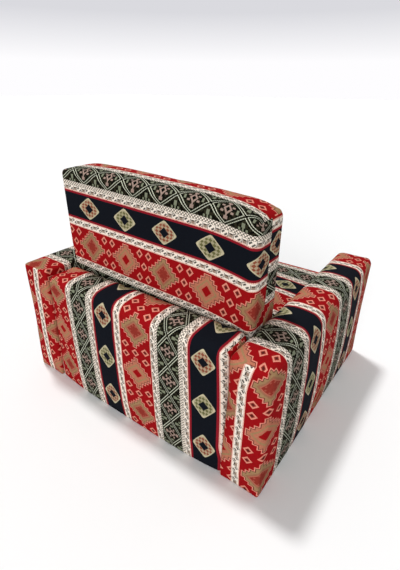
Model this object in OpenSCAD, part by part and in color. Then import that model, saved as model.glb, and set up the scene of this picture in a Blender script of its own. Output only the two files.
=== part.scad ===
// Fold-out foam sofa for one sitter, in covered foam blocks.
// Two arms and a rear panel stand round a well. A mattress of three slabs lies
// folded in the well and unrolls forwards to a bed. A loose back cushion stands
// in the slot between the folded slabs and the rear panel.
// Millimetres, +Z up, the sofa faces -Y, origin on the floor under its middle.

/* [Overall size] */
// Width over both arms
sofa_w = 940; // [840:10:1200]
// Depth from the arms' front ends to their rear ends
sofa_d = 800; // [700:10:1000]

/* [Arms and rear panel] */
// Height of the arms and of the rear panel at their edges
wall_h = 410; // [340:5:500]
// Thickness of the arms and of the rear panel
wall_t = 120; // [90:5:150]
// Radius of the blocks' covered edges
wall_round = 26; // [22:1:36]
// Rise of a wall's free faces at their middle
wall_crown = 5; // [0:1:10]
// Pull-in of a wall's free edges halfway between their corners
wall_draw = 3; // [0:0.5:5]

/* [Fold-out slabs] */
// Thickness of each of the three slabs
slab_t = 100; // [80:5:120]
// Radius of the slabs' covered edges
slab_round = 25; // [24:1:32]
// Rise of the seat at its middle
seat_crown = 8; // [0:1:14]

/* [Back cushion] */
// Thickness of the back cushion at its edges
cushion_t = 130; // [100:5:160]
// Height of the back cushion's upper corners above the floor
cushion_top = 713; // [600:5:800]
// Radius of the back cushion's covered edges
cushion_round = 26; // [22:1:40]
// Rise of the back cushion's upper face at its middle
cushion_top_crown = 14; // [0:1:24]
// Rise of the back cushion's front face at its middle
cushion_front_crown = 6; // [0:1:12]

/* [Cover and foam] */
// Thickness of the woven cover
cover_t = 1.5; // [1:0.1:2.5]
// Room between a cover and its foam core
foam_gap = 0.3; // [0.2:0.1:0.6]

/* [Clearances] */
// Room between two pieces that rest on each other
rest_gap = 0.3; // [0.2:0.1:0.6]
// Room on each side of a piece that lifts or folds out
slide_gap = 1.5; // [1:0.1:3]

/* [Hinge tapes] */
// Thickness of a hinge tape
tape_t = 1.2; // [0.8:0.1:2]
// Height of a tape on each of the two slabs that it joins
tape_reach = 38; // [34:1:48]
// Room between a tape and the fold line that it turns about
tape_fold_gap = 0.5; // [0.3:0.1:1]
// Distance from a tape's end to the side of the slabs
tape_side_margin = 40; // [20:5:80]

/* [Joining strips] */
// Thickness of the strips that join the blocks of the base
strip_t = 1; // [0.6:0.1:2]
// Width of the joining strips
strip_w = 40; // [20:5:50]
// Distance from a joining strip's ends to the ends of the face it lies on
strip_end_margin = 85; // [60:5:120]

/* [Zips] */
// Width of a zip over both of its tapes
zip_w = 12; // [9:0.5:12]
// Thickness of the zip's tapes
zip_tape_t = 0.8; // [0.5:0.1:1]
// Width of the closed coil
coil_w = 4; // [3:0.5:4.5]
// Height of the coil above the tapes
coil_t = 1.6; // [1.2:0.1:1.8]
// Length of the slider
slider_l = 9; // [7:0.5:12]
// Width of the slider
slider_w = 7.5; // [7:0.5:8]
// Thickness of the slider's crown over the coil
slider_wall = 1; // [0.8:0.1:1.2]
// Room between the slider and the coil
slider_gap = 0.3; // [0.2:0.05:0.4]
// Distance from a zip's ends to the ends of the edge it runs along
zip_end_margin = 80; // [60:5:120]
// Length of the stop at each end of a coil
stop_l = 3; // [2:0.5:5]

/* [Hidden] */
$fn = 32;
axis_w = sofa_w / 2;
axis_d = sofa_d / 2;
// Face of the arms and of the rear panel that looks into the well
arm_inner_x = axis_w - wall_t;
panel_inner_y = axis_d - wall_t;
// Room between two blocks of the base, which a joining strip fills
block_gap = strip_t + 2 * rest_gap;
// Distance from a fold line to the slab faces that meet there in the bed
fold_back = tape_fold_gap + tape_t + rest_gap;
front_fold_y = -axis_d;
front_fold_z = slab_t + rest_gap / 2;
// The back cushion's slot, and the line where the middle and top slabs join
cushion_rear_y = panel_inner_y - slide_gap;
cushion_front_y = cushion_rear_y - cushion_t;
rear_fold_y = cushion_front_y - cushion_front_crown - slide_gap;
rear_fold_z = 2 * slab_t + 1.5 * rest_gap;
slab_x = arm_inner_x - slide_gap;
slab_front_y = front_fold_y + fold_back;
slab_rear_y = rear_fold_y - fold_back;
middle_z = slab_t + rest_gap;
top_z = middle_z + slab_t + rest_gap;
base_slab_x = arm_inner_x - block_gap;
base_slab_rear_y = panel_inner_y - block_gap;
// Segments in a quarter of an edge's arc, and between the arcs along a face
arc_steps = 2;
few = 2;
some = 3;
many = 4;
most = 5;
// What a cut runs past the solid it is made in
overrun = 1;
cover_red = "#b21c28";
cover_navy = "#1c1f2b";
foam_cream = "#efe3bd";
tape_red = "#8c1a22";
strip_grey = "#3c3c40";
zip_black = "#202022";
slider_metal = "#9a9a9e";

// Grid places along one axis of a block: the two edge arcs and the flat between
function stations(half, round, spans) = concat(
    [for (a = [arc_steps:-1:1]) -half + round * (1 - tan(45 * a / arc_steps))],
    [for (i = [0:spans]) (half - round) * (2 * i / spans - 1)],
    [for (a = [1:arc_steps]) half - round * (1 - tan(45 * a / arc_steps))]);

function limited(value, limit) = max(-limit, min(limit, value));

// Push of a face at u, v: its crown in the middle, its draw-in along the edges
function push(u, v, crown, draw) =
    crown * (1 - u * u) * (1 - v * v)
    - draw * (u * u * (1 - v * v) + v * v * (1 - u * u));

// A point of the box's skin, rounded at the edges and crowned
function skin_point(q, half, round, crown, draw) =
    let (
        core = [for (i = [0:2]) limited(q[i], half[i] - round)],
        n = (q - core) / norm(q - core),
        p = core + round * n
    )
    [for (i = [0:2])
        let (j = (i + 1) % 3, k = (i + 2) % 3, side = n[i] < 0 ? 0 : 1)
        p[i] + n[i] * push(p[j] / half[j], p[k] / half[k], crown[i][side], draw[i][side])];

// A covered foam block between two corners. crown and draw give each axis's low
// and high face; spans gives the flat segments on each axis; inset shrinks it.
module crowned_block(low, high, round, crown, draw, spans, inset) {
    half = (high - low) / 2 - [inset, inset, inset];
    edge = round - inset;
    x = stations(half.x, edge, spans.x);
    y = stations(half.y, edge, spans.y);
    z = stations(half.z, edge, spans.z);
    nx = len(x) - 1;
    ny = len(y) - 1;
    nz = len(z) - 1;
    ring = 2 * (nx + ny);
    cap = (nx + 1) * (ny + 1);
    // Grid place of step m round the four sides
    function round_place(m) =
        m < nx ? [m, 0]
        : m < nx + ny ? [nx, m - nx]
        : m < 2 * nx + ny ? [2 * nx + ny - m, ny]
        : [0, ring - m];
    function cap_index(k, i, j) = (k == 0 ? 0 : cap) + j * (nx + 1) + i;
    function side_index(k, m) =
        let (at = round_place(m % ring))
        k == 0 || k == nz ? cap_index(k, at[0], at[1])
        : 2 * cap + (k - 1) * ring + m % ring;
    places = concat(
        [for (k = [0, nz], j = [0:ny], i = [0:nx]) [x[i], y[j], z[k]]],
        [for (k = [1:nz - 1], m = [0:ring - 1])
            let (at = round_place(m)) [x[at[0]], y[at[1]], z[k]]]);
    faces = concat(
        [for (j = [0:ny - 1], i = [0:nx - 1], half_quad = [0, 1])
            half_quad == 0
            ? [cap_index(0, i, j), cap_index(0, i + 1, j), cap_index(0, i + 1, j + 1)]
            : [cap_index(0, i, j), cap_index(0, i + 1, j + 1), cap_index(0, i, j + 1)]],
        [for (j = [0:ny - 1], i = [0:nx - 1], half_quad = [0, 1])
            half_quad == 0
            ? [cap_index(nz, i, j), cap_index(nz, i + 1, j + 1), cap_index(nz, i + 1, j)]
            : [cap_index(nz, i, j), cap_index(nz, i, j + 1), cap_index(nz, i + 1, j + 1)]],
        [for (k = [0:nz - 1], m = [0:ring - 1], half_quad = [0, 1])
            half_quad == 0
            ? [side_index(k, m), side_index(k + 1, m + 1), side_index(k, m + 1)]
            : [side_index(k, m), side_index(k + 1, m), side_index(k + 1, m + 1)]]);
    translate((low + high) / 2)
        polyhedron([for (q = places) skin_point(q, half, edge, crown, draw)], faces);
}

// The space of each block, shrunk by inset. An arm's outer side, top and ends
// are free and crowned; its inner side and underside are flat.
module arm_block(side, inset) {
    outer = [wall_crown, 0];
    outer_draw = [wall_draw, 0];
    crowned_block(
        [side < 0 ? -axis_w : arm_inner_x, -axis_d, 0],
        [side < 0 ? -arm_inner_x : axis_w, axis_d, wall_h],
        wall_round,
        [side < 0 ? outer : [0, wall_crown], [wall_crown, wall_crown], [0, wall_crown]],
        [side < 0 ? outer_draw : [0, wall_draw], [wall_draw, wall_draw], [0, wall_draw]],
        [few, many, some], inset);
}

module rear_panel_block(inset) {
    crowned_block(
        [-base_slab_x, panel_inner_y, 0], [base_slab_x, axis_d, wall_h], wall_round,
        [[0, 0], [0, wall_crown], [0, wall_crown]],
        [[0, 0], [0, wall_draw], [0, wall_draw]],
        [many, few, some], inset);
}

module base_slab_block(inset) {
    crowned_block(
        [-base_slab_x, slab_front_y, 0], [base_slab_x, base_slab_rear_y, slab_t], slab_round,
        [[0, 0], [0, 0], [0, 0]], [[0, 0], [0, 0], [0, 0]],
        [many, some, few], inset);
}

module middle_slab_block(inset) {
    crowned_block(
        [-slab_x, slab_front_y, middle_z], [slab_x, slab_rear_y, middle_z + slab_t], slab_round,
        [[0, 0], [0, 0], [0, 0]], [[0, 0], [0, 0], [0, 0]],
        [many, some, few], inset);
}

module top_slab_block(inset) {
    crowned_block(
        [-slab_x, slab_front_y, top_z], [slab_x, slab_rear_y, top_z + slab_t], slab_round,
        [[0, 0], [wall_crown, 0], [0, seat_crown]],
        [[0, 0], [wall_draw, 0], [0, 0]],
        [many, some, few], inset);
}

module back_cushion_block(inset) {
    crowned_block(
        [-slab_x, cushion_front_y, slab_t + rest_gap], [slab_x, cushion_rear_y, cushion_top],
        cushion_round,
        [[0, 0], [cushion_front_crown, 0], [0, cushion_top_crown]],
        [[0, 0], [0, 0], [0, 0]],
        [most, few, most], inset);
}

module cover_red_over() color(cover_red) children();
module foam_inside() color(foam_cream) children();

module left_arm_cover() cover_red_over()
    difference() { arm_block(1, 0); arm_block(1, cover_t); }
module left_arm_foam() foam_inside() arm_block(1, cover_t + foam_gap);

module right_arm_cover() cover_red_over()
    difference() { arm_block(-1, 0); arm_block(-1, cover_t); }
module right_arm_foam() foam_inside() arm_block(-1, cover_t + foam_gap);

module rear_panel_cover() cover_red_over()
    difference() { rear_panel_block(0); rear_panel_block(cover_t); }
module rear_panel_foam() foam_inside() rear_panel_block(cover_t + foam_gap);

module base_slab_cover() cover_red_over()
    difference() { base_slab_block(0); base_slab_block(cover_t); }
module base_slab_foam() foam_inside() base_slab_block(cover_t + foam_gap);

module middle_slab_cover() cover_red_over()
    difference() { middle_slab_block(0); middle_slab_block(cover_t); }
module middle_slab_foam() foam_inside() middle_slab_block(cover_t + foam_gap);

module top_slab_cover() cover_red_over()
    difference() { top_slab_block(0); top_slab_block(cover_t); }
module top_slab_foam() foam_inside() top_slab_block(cover_t + foam_gap);

module back_cushion_cover() color(cover_navy)
    difference() { back_cushion_block(0); back_cushion_block(cover_t); }
module back_cushion_foam() foam_inside() back_cushion_block(cover_t + foam_gap);

// Half of a hinge tape, on the slab below or above its fold line. The tape lies
// on the slabs' faces, so it folds into the joint when the bed is unrolled.
module hinge_tape(fold_y, fold_z, towards, above) {
    length = 2 * (slab_x - tape_side_margin);
    height = tape_reach - rest_gap;
    near_y = fold_y + towards * (tape_fold_gap + tape_t / 2);
    near_z = fold_z + (above ? 1 : -1) * (rest_gap + height / 2);
    color(tape_red) translate([0, near_y, near_z]) cube([length, tape_t, height], center = true);
}
module front_hinge_tape_lower() hinge_tape(front_fold_y, front_fold_z, 1, false);
module front_hinge_tape_upper() hinge_tape(front_fold_y, front_fold_z, 1, true);
module rear_hinge_tape_lower() hinge_tape(rear_fold_y, rear_fold_z, -1, false);
module rear_hinge_tape_upper() hinge_tape(rear_fold_y, rear_fold_z, -1, true);

// Upright strips between the arms and the ends of the rear panel
module corner_joining_strips() {
    height = wall_h - 2 * strip_end_margin;
    color(strip_grey) for (side = [-1, 1])
        translate([side * (arm_inner_x - rest_gap - strip_t / 2), axis_d - wall_t / 2, wall_h / 2])
            cube([strip_t, strip_w, height], center = true);
}

// Level strips between the base slab and the arms and rear panel round it
module seat_joining_strips() {
    side_l = base_slab_rear_y - slab_front_y - 2 * strip_end_margin;
    middle_y = (base_slab_rear_y + slab_front_y) / 2;
    rear_l = 2 * (base_slab_x - strip_end_margin);
    color(strip_grey) {
        for (side = [-1, 1])
            translate([side * (arm_inner_x - rest_gap - strip_t / 2), middle_y, slab_t / 2])
                cube([strip_t, side_l, strip_w], center = true);
        translate([0, panel_inner_y - rest_gap - strip_t / 2, slab_t / 2])
            cube([rear_l, strip_t, strip_w], center = true);
    }
}

// Lays a zip on a rounded edge. corner is the middle of the sharp edge that the
// rounding replaced, out is the side that each axis looks to, 0 along the edge.
module along_edge(corner, round, out) {
    back = round * (1 - cos(45));
    turn = out.x == 0
        ? [atan2(-out.y, out.z), 0, 0]
        : [0, atan2(out.x, out.z), 0];
    translate(corner - back * out) rotate(turn) rotate([0, 0, out.x == 0 ? 0 : 90]) children();
}

// Two woven tapes with a closed nylon coil and a stop at each end
module zip_chain(length) {
    color(zip_black) translate([0, 0, rest_gap]) {
        translate([-length / 2, -zip_w / 2, 0]) cube([length, zip_w, zip_tape_t]);
        translate([-length / 2, -coil_w / 2, 0]) cube([length, coil_w, zip_tape_t + coil_t]);
        for (end = [-1, 1])
            translate([end * (length - stop_l) / 2, 0, (zip_tape_t + coil_t + slider_gap) / 2])
                cube([stop_l, coil_w + 2 * slider_gap, zip_tape_t + coil_t + slider_gap], center = true);
    }
}

// A slider with no pull tab, as on cushion covers: it straddles the coil, with a
// rounded nose and a small bridge on its crown
module zip_slider(length) {
    foot_z = rest_gap + zip_tape_t + slider_gap;
    roof_z = rest_gap + zip_tape_t + coil_t + slider_gap;
    place_x = -length / 2 + stop_l + slider_gap + slider_l / 2;
    bridge_w = coil_w / 2;
    color(slider_metal) translate([place_x, 0, 0]) {
        difference() {
            translate([0, 0, foot_z]) linear_extrude(roof_z + slider_wall - foot_z) {
                translate([-slider_l / 2, -slider_w / 2]) square([slider_l - slider_w / 2, slider_w]);
                translate([slider_l / 2 - slider_w / 2, 0]) circle(d = slider_w);
            }
            translate([-slider_l / 2 - overrun, -coil_w / 2 - slider_gap, foot_z - overrun])
                cube([slider_l + 2 * overrun, coil_w + 2 * slider_gap, roof_z - foot_z + overrun]);
        }
        translate([0, bridge_w / 2, roof_z + slider_wall])
            rotate([90, 0, 0]) linear_extrude(bridge_w) difference() {
                circle(d = slider_w - coil_w / 2);
                circle(d = slider_w - coil_w / 2 - 2 * slider_wall);
                translate([-slider_w, -2 * slider_w]) square([2 * slider_w, 2 * slider_w]);
            }
    }
}

// Where each cover's zip runs: length of the zip, and the edge that carries it
arm_zip_l = sofa_d - 2 * zip_end_margin;
block_zip_l = 2 * (base_slab_x - zip_end_margin);
slab_side_zip_l = slab_rear_y - slab_front_y - 2 * zip_end_margin;
slab_middle_y = (slab_rear_y + slab_front_y) / 2;
cushion_zip_l = 2 * (slab_x - zip_end_margin);

module on_arm_edge(side) along_edge([side * arm_inner_x, 0, 0], wall_round, [-side, 0, -1]) children();
module on_rear_panel_edge() along_edge([0, panel_inner_y, 0], wall_round, [0, -1, -1]) children();
module on_base_slab_edge() along_edge([0, base_slab_rear_y, 0], slab_round, [0, 1, -1]) children();
module on_middle_slab_edge()
    along_edge([slab_x, slab_middle_y, middle_z + slab_t], slab_round, [1, 0, 1]) children();
module on_top_slab_edge()
    along_edge([-slab_x, slab_middle_y, top_z], slab_round, [-1, 0, -1]) children();
module on_back_cushion_edge()
    along_edge([0, cushion_rear_y, slab_t + rest_gap], cushion_round, [0, 1, -1]) children();

module left_arm_zip() on_arm_edge(1) zip_chain(arm_zip_l);
module left_arm_zip_slider() on_arm_edge(1) zip_slider(arm_zip_l);
module right_arm_zip() on_arm_edge(-1) zip_chain(arm_zip_l);
module right_arm_zip_slider() on_arm_edge(-1) zip_slider(arm_zip_l);
module rear_panel_zip() on_rear_panel_edge() zip_chain(block_zip_l);
module rear_panel_zip_slider() on_rear_panel_edge() zip_slider(block_zip_l);
module base_slab_zip() on_base_slab_edge() zip_chain(block_zip_l);
module base_slab_zip_slider() on_base_slab_edge() zip_slider(block_zip_l);
module middle_slab_zip() on_middle_slab_edge() zip_chain(slab_side_zip_l);
module middle_slab_zip_slider() on_middle_slab_edge() zip_slider(slab_side_zip_l);
module top_slab_zip() on_top_slab_edge() zip_chain(slab_side_zip_l);
module top_slab_zip_slider() on_top_slab_edge() zip_slider(slab_side_zip_l);
module back_cushion_zip() on_back_cushion_edge() zip_chain(cushion_zip_l);
module back_cushion_zip_slider() on_back_cushion_edge() zip_slider(cushion_zip_l);

left_arm_cover();
left_arm_foam();
right_arm_cover();
right_arm_foam();
rear_panel_cover();
rear_panel_foam();
base_slab_cover();
base_slab_foam();
middle_slab_cover();
middle_slab_foam();
top_slab_cover();
top_slab_foam();
back_cushion_cover();
back_cushion_foam();
front_hinge_tape_lower();
front_hinge_tape_upper();
rear_hinge_tape_lower();
rear_hinge_tape_upper();
corner_joining_strips();
seat_joining_strips();
left_arm_zip();
left_arm_zip_slider();
right_arm_zip();
right_arm_zip_slider();
rear_panel_zip();
rear_panel_zip_slider();
base_slab_zip();
base_slab_zip_slider();
middle_slab_zip();
middle_slab_zip_slider();
top_slab_zip();
top_slab_zip_slider();
back_cushion_zip();
back_cushion_zip_slider();
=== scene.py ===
"""Dresses the fold-out foam sofa: kilim covers over foam blocks, hinge tapes, zips, joining strips and the
studio."""

import math

import bpy
import numpy as np
from mathutils import Matrix, Vector


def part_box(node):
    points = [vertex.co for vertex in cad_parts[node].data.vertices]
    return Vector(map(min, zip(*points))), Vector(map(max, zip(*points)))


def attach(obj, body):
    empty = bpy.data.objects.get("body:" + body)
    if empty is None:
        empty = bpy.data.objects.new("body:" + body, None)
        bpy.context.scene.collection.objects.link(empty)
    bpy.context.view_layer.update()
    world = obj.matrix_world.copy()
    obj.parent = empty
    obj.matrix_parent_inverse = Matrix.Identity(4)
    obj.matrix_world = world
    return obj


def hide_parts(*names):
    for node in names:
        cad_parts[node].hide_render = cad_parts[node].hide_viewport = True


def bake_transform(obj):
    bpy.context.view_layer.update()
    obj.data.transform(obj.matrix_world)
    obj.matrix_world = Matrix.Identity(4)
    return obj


bl_info = {
    "name": "Fold-out foam sofa",
    "version": (1, 0, 0),
    "blender": (4, 5, 0),
    "location": "3D View > Sidebar > Sofa",
    "description": "Foam blocks in woven kilim covers, with hinge tapes, zips and joining strips",
    "category": "Object",
}

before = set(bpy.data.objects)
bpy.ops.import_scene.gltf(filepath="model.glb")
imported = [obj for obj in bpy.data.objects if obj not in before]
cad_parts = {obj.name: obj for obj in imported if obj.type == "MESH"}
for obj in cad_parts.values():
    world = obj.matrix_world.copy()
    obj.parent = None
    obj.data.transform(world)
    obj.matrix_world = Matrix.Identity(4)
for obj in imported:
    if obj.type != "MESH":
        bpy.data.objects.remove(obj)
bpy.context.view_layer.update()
MM = 0.001
X, Y, Z = 0, 1, 2


def linear(colour):
    """An sRGB hex value as linear RGBA: each channel c is c / 12.92 below 0.04045, else ((c + 0.055) /
    1.055) ** 2.4."""
    channels = [int(colour[i:i + 2], 16) / 255 for i in (1, 3, 5)]
    return tuple(c / 12.92 if c <= 0.04045 else ((c + 0.055) / 1.055) ** 2.4 for c in channels) + (1.0,)


# The kilim's repeat across its stripes, in mm: a narrow white band, the lattice, a white band, navy between
# two crimson lines, a white band, red. Places are measured from the first white band's edge.
REPEAT = 353.0
LATTICE_MID, LATTICE_HALF = 60.0, 35.0
NAVY_MID, NAVY_HALF, CRIMSON_HALF = 169.5, 38.0, 44.5
RED_MID, RED_HALF = 296.5, 56.5
WHITE_C_MID, WHITE_C_HALF = 227.0, 13.0
# Its repeats along the stripes, in mm
MOTIF_GAP = 148.0
CROSS_GAP = 98.667
CROSS_LAG = 14.3
SCROLL_GAP = 37.0
# Half the height of a medallion at each distance from its middle along the stripe
MEDALLION_STEPS = [(0.0, 51.5), (11.5, 41.0), (21.5, 30.5), (31.5, 18.0), (44.0, 8.0), (56.5, 0.0)]


def hue(name, text, colour):
    """A colour property."""
    return bpy.props.FloatVectorProperty(name=name, description=text, subtype="COLOR", size=4,
                                         min=0.0, max=1.0, default=linear(colour))


class SofaKilim(bpy.types.PropertyGroup):
    """Yarn colours of the kilim"""
    red: hue("Red ground", "Ground of the medallion stripe", "#980F14")
    crimson: hue("Crimson line", "Line on both sides of the navy stripe", "#8C1A26")
    navy: hue("Navy ground", "Ground of the stripe with the diamonds", "#10131A")
    black: hue("Black ground", "Ground of the lattice stripe", "#0A0905")
    lattice_speck: hue("Lattice speckle", "Small patches on the black ground", "#302D20")
    cream: hue("Cream", "Ground of the white bands", "#F4E8DA")
    cream_shade: hue("Cream lines", "Thin diagonal lines on the white bands", "#5A5446")
    scroll: hue("Scroll", "Dark loops and strokes in the white bands", "#241C18")
    scroll_shade: hue("Scroll shade", "Tan along the strokes", "#8E7664")
    salmon: hue("Salmon", "Outlines on the red ground", "#E08E7A")
    salmon_dim: hue("Dim salmon", "Lines in a medallion's heart", "#B46452")
    brown: hue("Brown", "Thin line inside a medallion's outline", "#54221E")
    olive: hue("Olive fill", "Fill of every other medallion", "#A07E5A")
    rose: hue("Rose fill", "Fill of the medallions between", "#B8735A")
    heart_band: hue("Heart border", "Band round the middle of a medallion", "#9A6A50")
    heart: hue("Heart", "Middle of a medallion", "#90342A")
    sage: hue("Sage", "Dim lines and blobs of the lattice", "#868B74")
    sage_light: hue("Light sage", "Fine lines of the lattice", "#D6DAC4")
    blush: hue("Blush", "Crosses in the lattice", "#A48C80")
    diamond_edge: hue("Diamond edge", "Border of the diamonds on navy", "#C2B898")
    diamond_green: hue("Diamond green", "Fill of every other diamond", "#6A6842")
    diamond_rust: hue("Diamond rust", "Fill of the diamonds between", "#8A4E3A")


def number(name, text, value, unit="NONE"):
    """A number property."""
    return bpy.props.FloatProperty(name=name, description=text, default=value, unit=unit)


class SofaCover(bpy.types.PropertyGroup):
    """Form of the stuffed covers"""
    step: number("Grid step", "Distance between the lines of a cover's mesh", 6.5 * MM, "LENGTH")
    swell: number("Swell", "Most that the cloth may move in the simulation", 5.0 * MM, "LENGTH")
    cloth_step: number("Simulation step", "Mesh of the simulated cloth", 14.0 * MM, "LENGTH")
    pressure: number("Pressure", "Pressure of the foam against its cover", 4.0)
    frames: bpy.props.IntProperty(name="Frames", description="Length of the cloth simulation", default=20)
    seam_depth: number("Seam depth", "How far a seam draws the cloth in", 2.2 * MM, "LENGTH")
    ripple: number("Ripple", "Height of the cloth's slight unevenness", 0.7 * MM, "LENGTH")


class SofaStage(bpy.types.PropertyGroup):
    """Studio round the sofa"""
    key: number("Key light", "Strength of the lamp behind the camera", 1.9)
    overhead: number("Overhead light", "Strength of the lamp above the sofa", 1.7)
    front: number("Front light", "Strength of the lamp before the sofa", 0.45)
    fill: number("Fill light", "Strength of the even light", 0.27)
    floor_tone: number("Floor", "Paleness of the floor in the picture", 0.97)


def add_node(tree, kind, settings=None, links=None):
    """Adds a shader node with its settings. links gives each input a value or the output that feeds it."""
    node = tree.nodes.new("ShaderNode" + kind)
    for name, value in (settings or {}).items():
        setattr(node, name, value)
    for socket, value in (links or {}).items():
        if isinstance(value, bpy.types.NodeSocket):
            tree.links.new(value, node.inputs[socket])
        else:
            node.inputs[socket].default_value = value
    return node


# The signs of the sums below and the Math node's operations. near says whether a value is within a distance
# of another, fold lets it run up and down again, and *+ multiplies the first two and adds the third
SIGNS = {"+": "ADD", "-": "SUBTRACT", "*": "MULTIPLY", "/": "DIVIDE", "*+": "MULTIPLY_ADD", "<": "LESS_THAN",
         ">": "GREATER_THAN", "min": "MINIMUM", "max": "MAXIMUM", "abs": "ABSOLUTE", "sign": "SIGN",
         "root": "SQRT", "near": "COMPARE", "fold": "PINGPONG", "wrap": "WRAP", "%": "FLOORED_MODULO"}
COLOUR_MIX = ("Mix", {"data_type": "RGBA"})


def draw_sum(tree, found, entry):
    """The output that an entry stands for: a sum, which is a sign and its inputs, or a name in found. A
    number stays as it is."""
    if isinstance(entry, tuple):
        sign, *inputs = entry
        fed = {i: draw_sum(tree, found, value) for i, value in enumerate(inputs)}
        return add_node(tree, "Math", {"operation": SIGNS[sign]}, fed).outputs[0]
    return found[entry] if isinstance(entry, str) else entry


def work_out(tree, found, table):
    """Draws a table of sums, each a name, a sign and its inputs, and adds their outputs to found."""
    for name, *entry in table:
        found[name] = draw_sum(tree, found, tuple(entry))


def lay_over(tree, yarn, layers, found):
    """Paints layers over the cream ground, each a mask's name and a colour's, or two colours that every
    other motif takes in turn."""
    ground = yarn.cream
    for mask, *colours in layers:
        colour, *other = [getattr(yarn, name) for name in colours]
        if other:
            colour = add_node(tree, *COLOUR_MIX, {0: found["other_motif"], 6: colour, 7: other[0]}).outputs[2]
        ground = add_node(tree, *COLOUR_MIX, {0: found[mask], 6: ground, 7: colour}).outputs[2]
    return ground


# Sums on the place in the cloth, in mm: across the stripes and along them. x is the distance from the
# middle of a stripe and y the distance along it from the middle of a motif.
PLACES = [
    ("place", "%", "across", REPEAT),
    ("lattice_off", "-", "place", LATTICE_MID),
    ("lattice_x", "abs", "lattice_off"),
    ("navy_x", "abs", ("-", "place", NAVY_MID)),
    ("red_x", "abs", ("-", "place", RED_MID)),
    ("in_lattice", "<", "lattice_x", LATTICE_HALF),
    ("in_crimson", "<", "navy_x", CRIMSON_HALF),
    ("in_navy", "<", "navy_x", NAVY_HALF),
    ("in_red", "<", "red_x", RED_HALF),
    ("other_motif", ">", ("fold", "along", MOTIF_GAP), MOTIF_GAP / 2),
    ("motif_y", "fold", "along", MOTIF_GAP / 2),
]
MEDALLIONS = [
    # The five small lozenges between two medallions: four round a middle one
    ("gap_y", "-", MOTIF_GAP / 2, "motif_y"),
    ("outer_y", "abs", ("-", "gap_y", 17)),
    ("outer_x", "abs", ("-", "red_x", 38)),
    ("outer", "+", ("/", "outer_y", 12.5), ("/", "outer_x", 14.5)),
    ("lozenge", "min", "outer", ("+", ("/", "gap_y", 12.5), ("/", "red_x", 14.5))),
    ("lozenge_rim", "*", ("<", "lozenge", 1), "in_red"),
    ("lozenge_fill", "*", ("<", "lozenge", 0.58), "in_red"),
    ("lozenge_eye", "*", ("<", "lozenge", 0.33), "in_red"),
    # The medallion's heart: nested diamonds, the third one flecked
    ("heart", "+", ("/", "motif_y", 27), ("/", "red_x", 31)),
    ("heart_band", "*", ("<", "heart", 1.24), "step_fill"),
    ("heart_line", "*", ("<", "heart", 1), "step_fill"),
    ("heart_in", "*", ("<", "heart", 0.86), "step_fill"),
    ("heart_eye", "*", ("<", "heart", 0.58), "step_fill"),
    ("fleck_place", "+", ("fold", "motif_y", 5), ("fold", "red_x", 5)),
    ("flecks", "*", ("*", (">", "fleck_place", 6.6), "heart_in"), 0.55),
]
DIAMONDS = [
    ("dia_y", "/", "motif_y", 42.5),
    ("dia_x", "/", "navy_x", 34.5),
    # Rounded corners: each share's square has a little added before the root
    ("dia", "+", ("root", ("*+", "dia_y", "dia_y", 0.012)), ("root", ("*+", "dia_x", "dia_x", 0.012))),
    ("dia_rim", "*", ("<", "dia", 1.11), "in_navy"),
    ("dia_fill", "*", ("<", "dia", 1), ("<", ("max", "dia_y", "dia_x"), 0.8)),
    ("dia_eye", "<", ("+", ("/", "motif_y", 16), ("/", "navy_x", 16)), 1),
    # Cells of about 10 mm on the diamond's slant, in two tones
    ("cell_up", ">", ("fold", ("+", "dia_y", "dia_x"), 0.3), 0.15),
    ("cell_down", ">", ("fold", ("-", "dia_y", "dia_x"), 0.3), 0.15),
    ("cells", "abs", ("-", "cell_up", "cell_down")),
    ("dia_fleck", "*", ("*", "cells", "dia_fill"), 0.62),
]
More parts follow.
